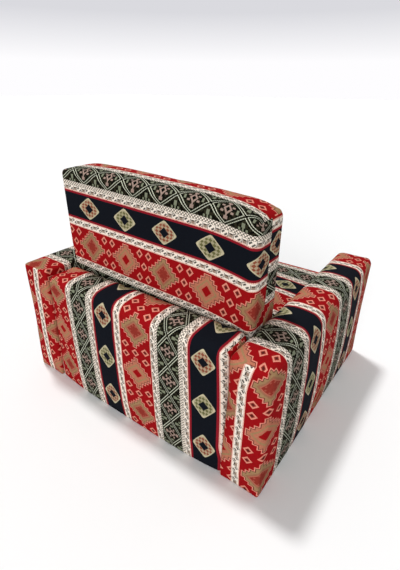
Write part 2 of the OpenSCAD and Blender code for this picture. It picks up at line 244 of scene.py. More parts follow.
LATTICE = [
    ("cross_along", "+", "along", CROSS_LAG),
    ("cross_y", "fold", "cross_along", CROSS_GAP / 2),
    ("cross_signed", "wrap", "cross_along", CROSS_GAP / 2, -CROSS_GAP / 2),
    # Distance from the diagonals that join the crossings, on which two dotted lines run, dimmer one way
    ("diag_sum", "+", ("/", "lattice_x", LATTICE_HALF), ("/", "cross_y", CROSS_GAP / 2)),
    ("diag", "*", ("abs", ("-", "diag_sum", 1)), 28.5),
    ("one_way", "<", ("*", "lattice_off", "cross_signed"), 0),
    ("dots", "*+", (">", ("fold", "along", 2.4), 0.7), 0.6, 0.4),
    ("dotted", "*", ("near", "diag", 3.1, 0.95), ("*+", "one_way", 0.25, 0.75)),
    ("fine_line", "*", ("*", "dotted", "dots"), "in_lattice"),
    # The cross: a ring with four arms, two with broad heads and two with prongs
    ("cross_sum", "+", "lattice_x", "cross_y"),
    ("cross_ring", "<", "cross_sum", 12.5),
    ("head", "*", ("near", "lattice_x", 18, 3.8), ("<", "cross_y", 5.5)),
    ("neck", "*", ("<", "lattice_x", 18), ("<", "cross_y", 2)),
    ("prong", "*", ("near", "lattice_x", 6.4, 2.2), ("near", "cross_y", 14.5, 4)),
    ("cross_arms", "max", ("max", "cross_ring", "head"), ("max", "neck", "prong")),
    ("cross_mark", "*", ("*", "cross_arms", "in_lattice"), 0.92),
    ("cross_eye", "*", ("<", "cross_sum", 6.4), "in_lattice"),
    # Half motifs at the lattice's sides, level with the crossings
    ("side_y", "-", CROSS_GAP / 2, "cross_y"),
    ("blob", "*", ("near", "lattice_x", 20, 5.5), ("<", "side_y", 4.5)),
    ("stem", "*", ("near", "lattice_x", 30, 6), ("<", "side_y", 2)),
    ("dot", "*", ("near", "lattice_x", 30, 3.2), ("near", "side_y", 10, 2.8)),
    ("bud", "*", ("<", "lattice_x", 5), ("near", "cross_y", 27, 3)),
    ("side_motif", "max", ("max", "blob", "stem"), ("max", "dot", "bud")),
    ("side_mark", "*", ("*", "side_motif", "in_lattice"), 0.85),
    # Small patches of a paler black in the ground
    ("speckle", "*", ("*", (">", "mottle", 0.5), "in_lattice"), 0.7),
]
WHITE_BANDS = [
    # A row of scrolls runs along each white band, along the middle of the one between navy and red.
    # scroll_s is the distance from the row's middle; the bands beside the lattice are plain between the
    # lattice and the row
    ("plain_h", "-", "lattice_x", LATTICE_HALF),
    ("side_way", "sign", "lattice_off"),
    ("row_mid", "*+", "side_way", 2, 18.5),
    ("side_s", "-", "plain_h", "row_mid"),
    ("third_s", "-", "place", WHITE_C_MID),
    ("third_x", "abs", "third_s"),
    ("in_third", "<", "third_x", WHITE_C_HALF),
    ("scroll_s", "*+", ("-", "third_s", "side_s"), "in_third", "side_s"),
    ("in_plain", "*", ("<", "scroll_s", -8), ("-", 1, "in_third")),
    ("in_scroll", "-", 1, "in_plain"),
    ("net_up", "fold", ("+", "along", "plain_h"), 4.625),
    ("net_down", "fold", ("-", "along", "plain_h"), 4.625),
    ("thin_cross", "*", ("<", ("min", "net_up", "net_down"), 1.25), "in_plain"),
    # A scroll is a white S with a slanted bar: the dark bowls on both sides of the bar and its outline are
    # drawn
    ("curl_y", "wrap", ("*", "along", "side_way"), SCROLL_GAP / 2, -SCROLL_GAP / 2),
    ("bar_n", "*+", "scroll_s", 0.78, ("*", "curl_y", 0.62)),
    ("bar_way", "sign", "bar_n"),
    ("hook_n", "abs", "bar_n"),
    ("hook_m", "*", ("*+", "curl_y", 0.78, ("*", "scroll_s", -0.62)), "bar_way"),
    ("bowl", "*", ("near", "hook_n", 4.6, 2.3), ("near", "hook_m", 1.5, 4.6)),
    ("rim", "*", ("near", "hook_n", 9.8, 1.1), ("near", "hook_m", 1.5, 6.5)),
    ("far", "abs", "curl_y"),
    ("post", "*", ("near", "far", 11.4, 1.1), ("<", ("abs", "scroll_s"), 6.5)),
    # Between two scrolls stands a tan block with a dark lid
    ("at_box", ">", "far", 13.4),
    ("box", "*", "at_box", ("near", "scroll_s", 0.8, 4.8)),
    ("lid", "*", "at_box", ("near", "scroll_s", -2.6, 1.6)),
    ("outline", "*", ("max", "rim", "post"), 0.8),
    ("solid", "*", ("max", "bowl", "lid"), 0.9),
    ("scroll_mark", "*", ("max", "outline", "solid"), "in_scroll"),
    ("scroll_shade", "*", ("*", "box", "in_scroll"), 0.9),
    # Pink yarn along the edges next to crimson and red
    ("to_border", "-", ("-", "third_x", 3.5), "scroll_s"),
    ("border", "*+", "to_border", "in_third", "scroll_s"),
    ("blush_edge", "*", ("*", (">", "border", 6.6), "dots"), 0.8),
]


def new_material(name):
    """A material without nodes, and its tree."""
    material = bpy.data.materials.new(name)
    material.use_nodes = True
    material.node_tree.nodes.clear()
    return material, material.node_tree


# Length of cloth that stands for 1 in the colour ramps of the medallions
STAIR_SCALE = 75.0
# How much smaller each copy of the medallion is drawn, in mm
STEP_INSETS = {"step_rim": 0.0, "step_line": 2.8, "step_fill": 4.6, "step_inner": 13.0, "step_core": 14.8}


def medallion_masks(tree, found):
    """Masks of the stepped medallion and of copies drawn smaller. At a distance y along the stripe the
    medallion is as high as its staircase says, so a copy smaller by d is the staircase at y + d, less d."""
    for name, inset in STEP_INSETS.items():
        place = draw_sum(tree, found, ("/", ("+", "motif_y", inset), STAIR_SCALE))
        ramp = add_node(tree, "ValToRGB", links={0: place})
        ramp.color_ramp.interpolation = "CONSTANT"
        stops = ramp.color_ramp.elements
        while len(stops) < len(MEDALLION_STEPS):
            stops.new(1.0)
        for stop, (along, half_height) in zip(stops, MEDALLION_STEPS):
            stop.position = along / STAIR_SCALE
            stop.color = (half_height / STAIR_SCALE,) * 3 + (1.0,)
        found["stair"] = ramp.outputs[0]
        stair = ("-", ("*", "stair", STAIR_SCALE), inset)
        work_out(tree, found, [(name, "*", (">", stair, "red_x"), "in_red")])


def kilim(yarn):
    """Woven kilim, a jacquard furnishing cloth of cotton and acrylic: matt, with the slight fuzz and slub
    of its yarn. The stripes follow the piece's own map of the cloth, in real sizes."""
    material, tree = new_material("kilim_jacquard_weave")
    uv = add_node(tree, "UVMap", {"uv_map": "cloth"}).outputs[0]
    split = add_node(tree, "SeparateXYZ", links={0: uv})
    # Patches and clouds about 8 and 70 mm wide, and slub: streaks along both thread directions, about 1.3
    # mm wide and 9 mm long, drawn twice as coarse as the real yarn so that they show
    found = {"u": split.outputs[0], "v": split.outputs[1]}
    for name, stretch, scale, detail in (("mottle", 1.0, 130.0, 1.0), ("cloud", 1.0, 14.0, 2.0),
                                         ("streak_1", (760.0, 110.0, 1.0), 1.0, 1.0),
                                         ("streak_2", (110.0, 760.0, 1.0), 1.0, 1.0)):
        place = uv
        if stretch != 1.0:
            place = add_node(tree, "Mapping", links={"Vector": uv, "Scale": stretch}).outputs[0]
        found[name] = add_node(tree, "TexNoise", {"noise_dimensions": "2D"},
                               {"Vector": place, "Scale": scale, "Detail": detail}).outputs[0]
    # The map of the cloth is in metres
    work_out(tree, found, [("across", "*", "u", 1000.0), ("along", "*", "v", 1000.0), *PLACES])
    medallion_masks(tree, found)
    work_out(tree, found, MEDALLIONS + DIAMONDS + LATTICE + WHITE_BANDS)
    colour = lay_over(tree, yarn, [
        ("thin_cross", "cream_shade"), ("scroll_shade", "scroll_shade"), ("scroll_mark", "scroll"),
        ("blush_edge", "salmon"), ("in_lattice", "black"), ("speckle", "lattice_speck"),
        ("side_mark", "sage"), ("fine_line", "sage_light"), ("cross_mark", "blush"),
        ("cross_eye", "black"), ("in_crimson", "crimson"), ("in_navy", "navy"),
        ("dia_rim", "diamond_edge"), ("dia_fill", "diamond_rust", "diamond_green"),
        ("dia_fleck", "diamond_edge"), ("dia_eye", "navy"), ("in_red", "red"),
        ("lozenge_rim", "salmon"), ("lozenge_fill", "heart"), ("lozenge_eye", "brown"),
        ("step_rim", "salmon"), ("step_line", "brown"), ("step_fill", "olive", "rose"),
        ("step_inner", "heart_band"), ("step_core", "olive", "rose"),
        ("heart_band", "heart_band", "olive"), ("heart_line", "salmon_dim", "rose"),
        ("heart_in", "heart", "rose"), ("flecks", "salmon_dim"), ("heart_eye", "heart", "red"),
    ], found)
    work_out(tree, found, [
        ("slub", "+", "streak_1", "streak_2"),
        ("worn", "*+", "cloud", 0.16, ("*+", "slub", 0.30, 0.70)),
        ("value", "-", "worn", 0.08),
    ])
    toned = add_node(tree, "HueSaturation", links={"Color": colour, "Value": found["value"]})
    bump = add_node(tree, "Bump", links={"Height": found["slub"], "Strength": 0.35, "Distance": 0.0012})
    shader = add_node(tree, "BsdfPrincipled", links={"Base Color": toned.outputs[0], "Roughness": 0.95,
                                                     "Specular IOR Level": 0.05, "Normal": bump.outputs[0]})
    add_node(tree, "OutputMaterial", links={"Surface": shader.outputs[0]})
    return material


def textured(name, texture, output, dark, light, relief, finish):
    """A material in two shades mixed by a texture, which lies in the piece's own coordinates and gives it
    relief: a strength and a depth in m. texture is the node's kind, settings and values, finish the
    shader's values."""
    material, tree = new_material(name)
    kind, settings, values = texture
    place = add_node(tree, "TexCoord").outputs["Object"]
    grain = add_node(tree, kind, settings, {"Vector": place, **values}).outputs[output]
    tone = add_node(tree, *COLOUR_MIX, {0: grain, 6: linear(dark), 7: linear(light)})
    shader = add_node(tree, "BsdfPrincipled", links={"Base Color": tone.outputs[2], **finish})
    if relief:
        bump = add_node(tree, "Bump", links={"Height": grain, "Strength": relief[0], "Distance": relief[1]})
        tree.links.new(bump.outputs[0], shader.inputs["Normal"])
    add_node(tree, "OutputMaterial", links={"Surface": shader.outputs[0]})
    return material


def webbing(name, dark, light):
    """Woven polyester webbing: a satin rib of about 1.6 mm across its width, with a herringbone wave."""
    ribs = ("TexWave", {"bands_direction": "Z"}, {"Scale": 300.0, "Distortion": 1.2, "Detail": 1.0})
    finish = {"Roughness": 0.7, "Specular IOR Level": 0.3}
    return textured(name, ribs, "Fac", dark, light, (0.5, 0.0005), finish)


def ease(t):
    """0 up to t = 0 and 1 from t = 1 on, with t t (3 - 2 t) between."""
    t = np.clip(t, 0, 1)
    return t * t * (3 - 2 * t)


def above_middle(share):
    """Rises from 0 at a block's low face, where share is -1, to 1 at the high one, where it is 1."""
    return ease(0.5 + share / 2)


# Lines through a rounded edge, the close lines round a seam and the reach that these fill, in mm
EDGE_LINES = 7
SEAM_LINES = np.array([-5.0, -2.6, -1.2, 0.0, 1.2, 2.6, 5.0])
SEAM_REACH = 6.5


def grid_lines(half, edge, step, marks):
    """Places along one axis of a block: through each rounded edge the skin turns by even angles, the flat
    between has even steps, and close lines stand on both sides of each mark, where a seam runs."""
    turns = edge * (1 - np.tan(np.linspace(math.pi / 4, 0, EDGE_LINES)))[:-1]
    flat = np.linspace(edge - half, half - edge, max(2, round(2 * (half - edge) / step)) + 1)
    for mark in marks:
        flat = np.concatenate([flat[np.abs(flat - mark) > SEAM_REACH], mark + SEAM_LINES])
    return np.sort(np.concatenate([turns - half, flat, half - turns]))


def unrolled(places, half, edge):
    """Length of cloth from the middle of a face: straight on the flat, and the arc's own length round an
    edge, where a place t past the flat has turned by the angle whose tangent is t / edge."""
    flat = half - edge
    past = np.maximum(np.abs(places) - flat, 0)
    return np.sign(places) * (np.minimum(np.abs(places), flat) + edge * np.arctan(past / edge))


FACES = {"left": (X, 1), "right": (X, -1), "rear": (Y, 1), "front": (Y, -1), "top": (Z, 1), "under": (Z, -1)}
ANYWHERE = (X, -1e9, 1)
FLAT = ((0.0, 0.0),) * 3
# Radius of the edges: of the upright blocks and the cushion, of the slabs, and at the floor, in mm
UPRIGHT_EDGE, SLAB_EDGE, FLOOR_EDGE = 26.0, 25.0, 6


class Block:
    """A covered foam block. Places p are on its sharp box, in mm from its middle. crown and draw hold for
    each axis how far its low and its high face bulge in the middle and sink along their borders."""

    def __init__(self, body, low, high, edge, crown=FLAT, draw=FLAT):
        low, high = np.array(low, float), np.array(high, float)
        self.body, self.edge = body, edge
        self.crown, self.draw = np.array(crown, float), np.array(draw, float)
        self.middle, self.half = (low + high) / 2, (high - low) / 2
        self.reach = self.half - edge + edge * math.pi / 4
        self.marks = ((), (), ())
        self.seams = []
        self.panels = {}
        self.seed = 1

    def edge_at(self, p):
        """Radius of the covered edge at each place."""
        return np.full(len(p), self.edge)

    def edge_on_floor(self, p, upper, near_zip):
        """Edge of a block that stands on the floor: it grows from a sharp one there to upper near the top,
        but stays even along the zip, at the foot."""
        height = (p[:, Z] + self.half[Z]) / (2 * self.half[Z])
        edge = FLOOR_EDGE + (upper - FLOOR_EDGE) * ease(height / 0.9)
        return edge + (self.edge - edge) * near_zip * ease((0.5 - height) / 0.3)

    def sag(self, p):
        """How far the filled cover stands away from the even shape at each place."""
        return np.zeros_like(p)

    def drift(self, p, start):
        """How far the cloth that starts on one face is pulled across and along at each place."""
        return np.zeros((len(p), 2))

    def spread(self, face, across, along):
        """Lays cloth on a face. across and along are an origin and a slope: origin + slope . unrolled
        place."""
        self.panels[face] = [(ANYWHERE, (*across, *along), face)]

    def wrap(self, start, *ends):
        """Carries the cloth of one face round the edge to others."""
        for end in ends:
            self.panels[end] = [(ANYWHERE, self.rolled(start, end), self.panels[start][0][2])]

    def rolled(self, start, end):
        """The cloth's map of one face, carried over the edge to the next: what ran towards the edge there
        runs away from it here, and starts with the value that it had at the edge."""
        panel = self.panels[start][0][1]
        (axis_0, way_0), (axis_1, way_1) = FACES[start], FACES[end]
        carried = []
        for origin, slope in (panel[:2], panel[2:]):
            slope = np.array(slope, float)
            rate = slope[axis_1] * way_1
            slope[axis_1], slope[axis_0] = 0.0, -rate * way_0
            carried += [origin + rate * (self.reach[axis_1] + self.reach[axis_0]), slope]
        return tuple(carried)

    def skin(self, p):
        """Points of the skin and the way out there. A place p is taken to the box inside the block that is
        smaller by the edge's radius, and pushed out by that radius. Each face then rises by crown (1 -
        u^4)(1 - v^4) and sinks by draw (u^2 (1 - v^2) + v^2 (1 - u^2)), u and v being shares of its half
        sizes."""
        edge = self.edge_at(p)[:, None]
        core = np.clip(p, edge - self.half, self.half - edge)
        out = p - core
        out /= np.linalg.norm(out, axis=1, keepdims=True)
        points = core + edge * out
        share = (points / self.half) ** 2
        full = share ** 2
        side = (out > 0).astype(int)
        for axis in (X, Y, Z):
            i, j = (axis + 1) % 3, (axis + 2) % 3
            crown = self.crown[axis, side[:, axis]] * (1 - full[:, i]) * (1 - full[:, j])
            draw = self.draw[axis, side[:, axis]]
            dip = share[:, i] * (1 - share[:, j]) + share[:, j] * (1 - share[:, i])
            points[:, axis] += out[:, axis] * (crown - draw * dip)
        return points, out

    def can_swell(self):
        """Whether any face has a crown."""
        return (self.crown > 0).any()

    def freedom(self, p):
        """From 0 where the block rests on something to 1 on a face that can swell, which is one with a
        crown."""
        _, out = self.skin(p)
        share = np.abs(p / self.half) ** 6
        total = np.zeros(len(p))
        for axis in (X, Y, Z):
            crowned = self.crown[axis, (out[:, axis] > 0).astype(int)] > 0
            u, v = share[:, (axis + 1) % 3], share[:, (axis + 2) % 3]
            total += crowned * out[:, axis] ** 2 * (1 - u) * (1 - v)
        return np.clip(total, 0, 1)

    def mesh(self, step):
        """Grids over the six faces, joined at their borders. Returns the places, the quads, each quad
        corner's place in the cloth in mm, and the lines of each face's grid with the joined points on
        them."""
        lines = [grid_lines(self.half[i], self.edge, step, self.marks[i]) for i in (X, Y, Z)]
        places, quads, cloth, grids, count = [], [], [], {}, 0
        for face, (axis, way) in FACES.items():
            i, j = (axis + 1) % 3, (axis + 2) % 3
            p = np.empty((len(lines[i]), len(lines[j]), 3))
            p[..., i], p[..., j], p[..., axis] = lines[i][:, None], lines[j][None, :], way * self.half[axis]
            index = np.arange(p.size // 3).reshape(p.shape[:2])
            quad, p = grid_quads(index)[:, ::way], p.reshape(-1, 3)
            cloth.append(self.cloth(face, p, quad))
            places.append(p)
            quads.append(quad + count)
            grids[face] = (lines[i], lines[j], index + count)
            count += len(p)
        places = np.concatenate(places)
        # Points closer than 0.02 mm are one
        keys = np.round(places * 50).astype(np.int64)
        _, kept, which = np.unique(keys, axis=0, return_index=True, return_inverse=True)
        which = which.reshape(-1)
        grids = {face: (a, b, which[index]) for face, (a, b, index) in grids.items()}
        return places[kept], which[np.concatenate(quads)], np.concatenate(cloth), grids

    def cloth(self, face, p, quad):
        """Across and along the cloth at each quad corner of a face. Where a seam crosses the face it has
        two panels, and each quad takes the one on its side."""
        q = np.stack([unrolled(p[:, i], self.half[i], self.edge) for i in (X, Y, Z)], -1)
        middle = p[quad].mean(1)
        result = np.zeros(quad.shape + (2,))
        for (axis, place, way), (u0, a, v0, b), start in self.panels[face]:
            mine = (middle[:, axis] - place) * way >= 0
            uv = np.stack([u0 + q @ a, v0 + q @ b], -1) + self.drift(p, start)
            result[mine] = uv[quad[mine]]
        return result


class Arm(Block):
    """An arm. One cloth goes up its outer side, over the top and down its inner side, with the stripes
    upright. At both ends the two sides' cloths are folded round and meet in an upright seam. Its edges are
    sharper towards the floor, but for the lower inner one, where the zip runs. level is the place along the
    cloth at mid height, seam the seam's x, sharp the edge near the top, fold how far the cloth is pulled
    round the rear end, lean and tall how far the seam leans out and the top rises."""

    def __init__(self, side, level, seam, sharp, fold, lean, tall):
        bulge, sink = (0, 5), (0, 3)
        right, left = sorted((350 * side, 470 * side))
        super().__init__("base", (right, -400, 0), (left, 400, 410), UPRIGHT_EDGE,
                         crown=[bulge[::side], (5, 5), bulge], draw=[sink[::side], (3, 3), sink])
        self.side, self.sharp, self.fold, self.lean, self.tall = side, sharp, fold, lean, tall
        self.seam = seam - self.middle[X]
        self.marks = ((self.seam,), (), ())
        self.seed = 12 + side
        outer, inner = ("left", "right") if side > 0 else ("right", "left")
        # The place in the cloth is measured down the left arm's outer side, and up the right arm's
        self.spread(outer, (318.0, (0, -0.982, 0)), (level, (0, 0, -side)))
        self.wrap(outer, "top", "under")
        self.wrap("top", inner)
        for end in ("rear", "front"):
            self.panels[end] = [((X, self.seam, side), self.rolled(outer, end), end),
                                ((X, self.seam, -side), self.rolled(inner, end), end)]
            y = FACES[end][1] * self.half[Y]
            over = self.half[Z] - 8
            self.seams.append([(self.seam, y, -over), (self.seam, y, over)])
            self.seams.append([(-45, y * 0.98, over), (45, y * 0.98, over)])

    def edge_at(self, p):
        from_inner = self.half[X] + self.side * p[:, X]
        near_zip = ease((75 - from_inner) / 40) * ease((370 - np.abs(p[:, Y])) / 30)
        return self.edge_on_floor(p, self.sharp, near_zip)

    def sag(self, p):
        """The outer side bows, most to the front, the seam at the ends leans outwards near the top, the
        rear end's foot stands out and the top rises."""
        x, y, z = (p / self.half).T
        height, outer = (z + 1) / 2, above_middle(self.side * x)
        front = ease((-y - 0.2) / 0.8)
        end = ease((np.abs(p[:, Y]) - self.half[Y] + 45) / 45)
        leaning = self.lean * ease((height - 0.8) / 0.2) * (1 - x ** 2) * end
        sideways = self.side * (5 * (1 - y ** 2) * outer + leaning + 7 * front * outer)
        rearwards = 9 * ease((y - 0.8) / 0.2) * ease((0.7 - height) / 0.7)
        return np.stack([sideways, rearwards, (self.tall + 4 * front) * ease(height)], -1)

    def drift(self, p, start):
        pulled = self.fold * ease((p[:, Y] - self.half[Y] + 60) / 60)
        return np.stack([pulled, np.zeros(len(p))], -1)


class RearPanel(Block):
    """The rear panel between the arms, its stripes upright on its rear face and over its top. It bows a
    little to the rear down to the floor, where its edge is sharp."""

    def __init__(self):
        super().__init__("base", (-348.4, 280, 0), (348.4, 400, 410), UPRIGHT_EDGE,
                         crown=[(0, 0), (0, 5), (0, 5)], draw=[(0, 0), (0, 3), (0, 3)])
        self.seed = 13
        self.spread("rear", (235.0, (-1, 0, 0)), (1.012 * (205.0 - 359.5), (0, 0, 1.012)))
        self.wrap("rear", "top", "left", "right", "under")
        self.wrap("top", "front")

    def edge_at(self, p):
        return self.edge_on_floor(p, self.edge, ease((75 - self.half[Y] - p[:, Y]) / 40))

    def sag(self, p):
        x, y, z = (p / self.half).T
        moved = np.zeros_like(p)
        moved[:, Y] = (1 - x ** 4) * above_middle(y) * (15 - 10 * above_middle(z))
        return moved

    def drift(self, p, start):
        """The cloth hangs a little askew: it is pulled across by a sum of powers of the height, and up most
        near the floor."""
        x, height = p[:, X], p[:, Z] + self.middle[Z]
        across = 12.5 - 0.016 * height - 0.000085 * height ** 2 - 0.00005 * (52 + x) * height
        across -= 8 * ease((-200 - x) / 120) * ease((height - 40) / 60) * (1 - height / 410)
        along = 11 + 0.035 * height - 0.000156 * height ** 2 + 0.015 * x
        return np.stack([-across, -1.012 * along], -1)


class Slab(Block):
    """A slab of the folded mattress, its stripes from side to side. first is the place in the cloth of its
    upper front edge and middle that of the motif under its middle. The front edge stands up by lip."""

    def __init__(self, body, low, high, first, middle, crown=FLAT, draw=FLAT, lip=0):
        super().__init__(body, low, high, SLAB_EDGE, crown, draw)
        self.lip = lip
        self.spread("top", (first + self.reach[Y], (0, 1, 0)), (middle, (-1, 0, 0)))
        self.wrap("top", "front", "rear", "left", "right")
        self.wrap("front", "under")

    def sag(self, p):
        moved = np.zeros_like(p)
        front = ease((-p[:, Y] - self.half[Y] + 110) / 110)
        moved[:, Z] = self.lip * front * above_middle(p[:, Z] / self.half[Z])
        return moved


class BackCushion(Block):
    """The loose back cushion. One cloth goes up its rear face and over its top, another down its front, and
    on each end the two meet in an upright seam. Its left end stands higher than its right end, which droops
    at the corner. Above the arms it is a little longer than the slot in which it stands."""

    def __init__(self):
        super().__init__("back_cushion", (-348.5, 148.5, 100.3), (348.5, 278.5, 713), UPRIGHT_EDGE,
                         crown=[(0, 0), (6, 0), (0, 14)])
        self.seam = 209.0 - self.middle[Y]
        self.marks = ((), (self.seam,), ())
        self.seed = 14
        self.spread("rear", (95.0 + 690.0 - self.middle[Z], (0, 0, -1)), (-65.6, (-0.985, 0, 0)))
        self.spread("front", (241.0 - 1.045 * (683.0 - self.middle[Z]), (0, 0, 1.045)), (-66.0, (-1, 0, 0)))
        self.wrap("rear", "top", "under")
        over = self.half[Z] - 8
        for end in ("left", "right"):
            self.panels[end] = [((Y, self.seam, 1), self.rolled("rear", end), "rear"),
                                ((Y, self.seam, -1), self.rolled("front", end), "front")]
            x = FACES[end][1] * self.half[X]
            self.seams.append([(x, self.seam, -over), (x, self.seam, over)])
            self.seams.append([(x * 0.978, -50, over), (x * 0.978, 50, over)])
        self.seams.append([(-325, 8 - self.half[Y], over), (325, 8 - self.half[Y], over)])

    def edge_at(self, p):
        x, y, z = (p / self.half).T
        edge = 11 + 13 * above_middle(y) * above_middle(-x)
        return edge + (self.edge - edge) * ease((-z - 0.68) / 0.16)

    def rise(self, p):
        """How far the upper part stands higher than the even shape."""
        x = p[:, X]
        droop = 14 * np.clip((-270 - x) / 78, 0, 1) ** 2
        lift = 7 + 0.040 * x - droop - 7 * np.clip((x - 300) / 48, 0, 1) ** 2
        return lift * ease((p[:, Z] / self.half[Z] + 0.3) / 1.3)

    def sag(self, p):
        moved = np.zeros_like(p)
        over_arm = ease((p[:, Z] + self.middle[Z] - 430) / 60)
        moved[:, X] = 7 * ease((p[:, X] - 150) / 198) * over_arm
        moved[:, Z] = self.rise(p)
        return moved

    def drift(self, p, start):
        """The rear cloth's stripes sink along the cushion and the rows of motifs between them lean. The
        front cloth is sewn on level."""
        x = p[:, X]
        if start == "front":
            return np.stack([1.045 * self.rise(p), np.zeros(len(p))], -1)
        sink = 0.039 * (59 - x) + 15 * np.clip((-170 - x) / 160, 0, 1) ** 2
        on_top = ease((p[:, Z] / self.half[Z] - 0.86) / 0.14)
        sink += 14 * ease((self.half[Y] - p[:, Y]) / 50) * on_top
        lean = 0.065 * (625 - self.middle[Z] - p[:, Z])
        return np.stack([-self.rise(p) - sink, lean], -1)


BLOCKS = {
    "left_arm": Arm(side=1, level=-63.0, seam=392.0, sharp=10.0, fold=0.0, lean=0.0, tall=12.0),
    "right_arm": Arm(side=-1, level=205.0 - 363.0, seam=-386.0, sharp=26.0, fold=7.0, lean=10.0, tall=0.0),
    "rear_panel": RearPanel(),
    "base_slab": Slab("base", (-348.4, -398, 0), (348.4, 278.4, 100), first=-240.0, middle=62.0),
    "middle_slab": Slab("middle_slab", (-348.5, -398, 100.3), (348.5, 139, 200.3), first=-131.0,
                        middle=-12.0),
    "top_slab": Slab("top_slab", (-348.5, -398, 200.6), (348.5, 139, 300.6), first=-26.0, middle=-86.0,
                     crown=[(0, 0), (5, 0), (0, 8)], draw=[(0, 0), (3, 0), (0, 0)], lip=7.0),
    "back_cushion": BackCushion(),
}


# Waves in the ripple, and what brings their mean close to -1 to 1
WAVES, WAVE_GAIN = 7, 1.9
# Rounds in which the swelling is evened out on the fine mesh
ROUNDS = 12
# Widths of a seam's groove, of the dip round it and of its pucker, in mm
GROOVE, DIP, PUCKER = 2.4, 15, 13


def smooth_noise(points, wavelength, seed):
    """Even, seeded ripple from -1 to 1: the mean of a few waves in random directions, about one wavelength
    long."""
    draw = np.random.default_rng(seed)
    total = np.zeros(len(points))
    for _ in range(WAVES):
        way = draw.normal(size=3)
        way *= 2 * math.pi / (np.linalg.norm(way) * wavelength * draw.uniform(0.7, 1.5))
        total += np.sin(points @ way + draw.uniform(0, 2 * math.pi))
    return total / WAVES * WAVE_GAIN


def seam_pull(points, seams, depth, seed):
    """How far the skin sinks at its seams, in mm. A seam draws the cloth in over a width of about 3 mm, and
    the stitches pucker it on both sides, in waves about 16 mm long that die out with the distance."""
    pull = np.zeros(len(points))
    pucker = smooth_noise(points, 17.0, seed)
    for start, end in np.array(seams, float).reshape(-1, 2, 3):
        along = end - start
        t = np.clip((points - start) @ along / (along @ along), 0, 1)
        away = np.linalg.norm(points - start - t[:, None] * along, axis=1)
        pull += depth * (np.exp(-(away / GROOVE) ** 2) + 0.16 * np.exp(-(away / DIP) ** 2)
                         + 0.26 * pucker * np.exp(-(away / PUCKER) ** 2))
    return pull


def grid_quads(index):
    """Quads between neighbouring points of a grid, from the points' numbers."""
    return np.stack([index[:-1, :-1], index[1:, :-1], index[1:, 1:], index[:-1, 1:]], -1).reshape(-1, 4)


def new_piece(name, points, faces, material=None, smooth=True):
    """A mesh object at the origin, its points in metres."""
    mesh = bpy.data.meshes.new(name)
    mesh.from_pydata(points.tolist(), [], faces.tolist())
    mesh.polygons.foreach_set("use_smooth", np.full(len(faces), smooth))
    if material:
        mesh.materials.append(material)
    mesh.update()
    piece = bpy.data.objects.new(name, mesh)
    bpy.context.scene.collection.objects.link(piece)
    return piece


def over_grids(field, coarse, fine, count):
    """Takes values at a coarse mesh's points to a fine one's: straight along the lines of each face's grid,
    then evened out with the neighbours in a few rounds."""
    result = np.zeros(count)
    for face, (a, b, index) in fine.items():
        a0, b0, index0 = coarse[face]
        across = np.stack([np.interp(a, a0, column) for column in field[index0].T], 1)
        grid = np.stack([np.interp(b, b0, row) for row in across])
        for _ in range(ROUNDS):
            grid[1:-1, 1:-1] = (grid[:-2, 1:-1] + grid[2:, 1:-1] + grid[1:-1, :-2] + grid[1:-1, 2:]) / 4
        result[index] = grid
    return result


# A firm weave that stretches little
CLOTH = {"quality": 5, "mass": 0.4, "air_damping": 8.0, "tension_stiffness": 40.0,
         "compression_stiffness": 40.0, "shear_stiffness": 20.0, "bending_stiffness": 2.0,
         "use_pressure": True, "vertex_group_mass": "pins"}
# How far inwards the simulated cloth may go, in mm
INWARDS = 0.8


def swelled(context, blocks, sizes):
    """Cloth simulation of the covers: each cover's coarse mesh is blown up by an even pressure and held
    where the block rests on something or is sewn. Returns how far each point has moved outwards, in mm,
    drawn up to a limit by limit . tanh(way / limit)."""
    trials = {}
    for name, block in blocks.items():
        p, quads, _, grids = block.mesh(sizes.cloth_step / MM)
        points, out = block.skin(p)
        points = (points + block.sag(p) + block.middle) * MM
        piece = new_piece("cloth_trial", points, quads)
        pins = piece.vertex_groups.new(name="pins")
        for index, free in enumerate(block.freedom(p)):
            pins.add([index], 1 - float(free), "REPLACE")
        modifier = piece.modifiers.new("cloth", "CLOTH")
        for setting, value in CLOTH.items():
            setattr(modifier.settings, setting, value)
        modifier.settings.uniform_pressure_force = sizes.pressure
        modifier.settings.effector_weights.gravity = 0
        modifier.collision_settings.use_collision = False
        modifier.point_cache.frame_end = sizes.frames
        trials[name] = (piece, points, out, grids)
    for frame_number in range(1, sizes.frames + 1):
        context.scene.frame_set(frame_number)
    moved = {}
    graph = context.evaluated_depsgraph_get()
    for name, (piece, points, out, grids) in trials.items():
        places = np.empty(len(points) * 3)
        piece.evaluated_get(graph).data.vertices.foreach_get("co", places)
        way = ((places.reshape(-1, 3) - points) * out).sum(1) / MM
        limit = sizes.swell / MM
        moved[name] = (limit * np.tanh(np.maximum(way, -INWARDS) / limit), grids)
        mesh = piece.data
        bpy.data.objects.remove(piece)
        bpy.data.meshes.remove(mesh)
    context.scene.frame_set(1)
    return moved


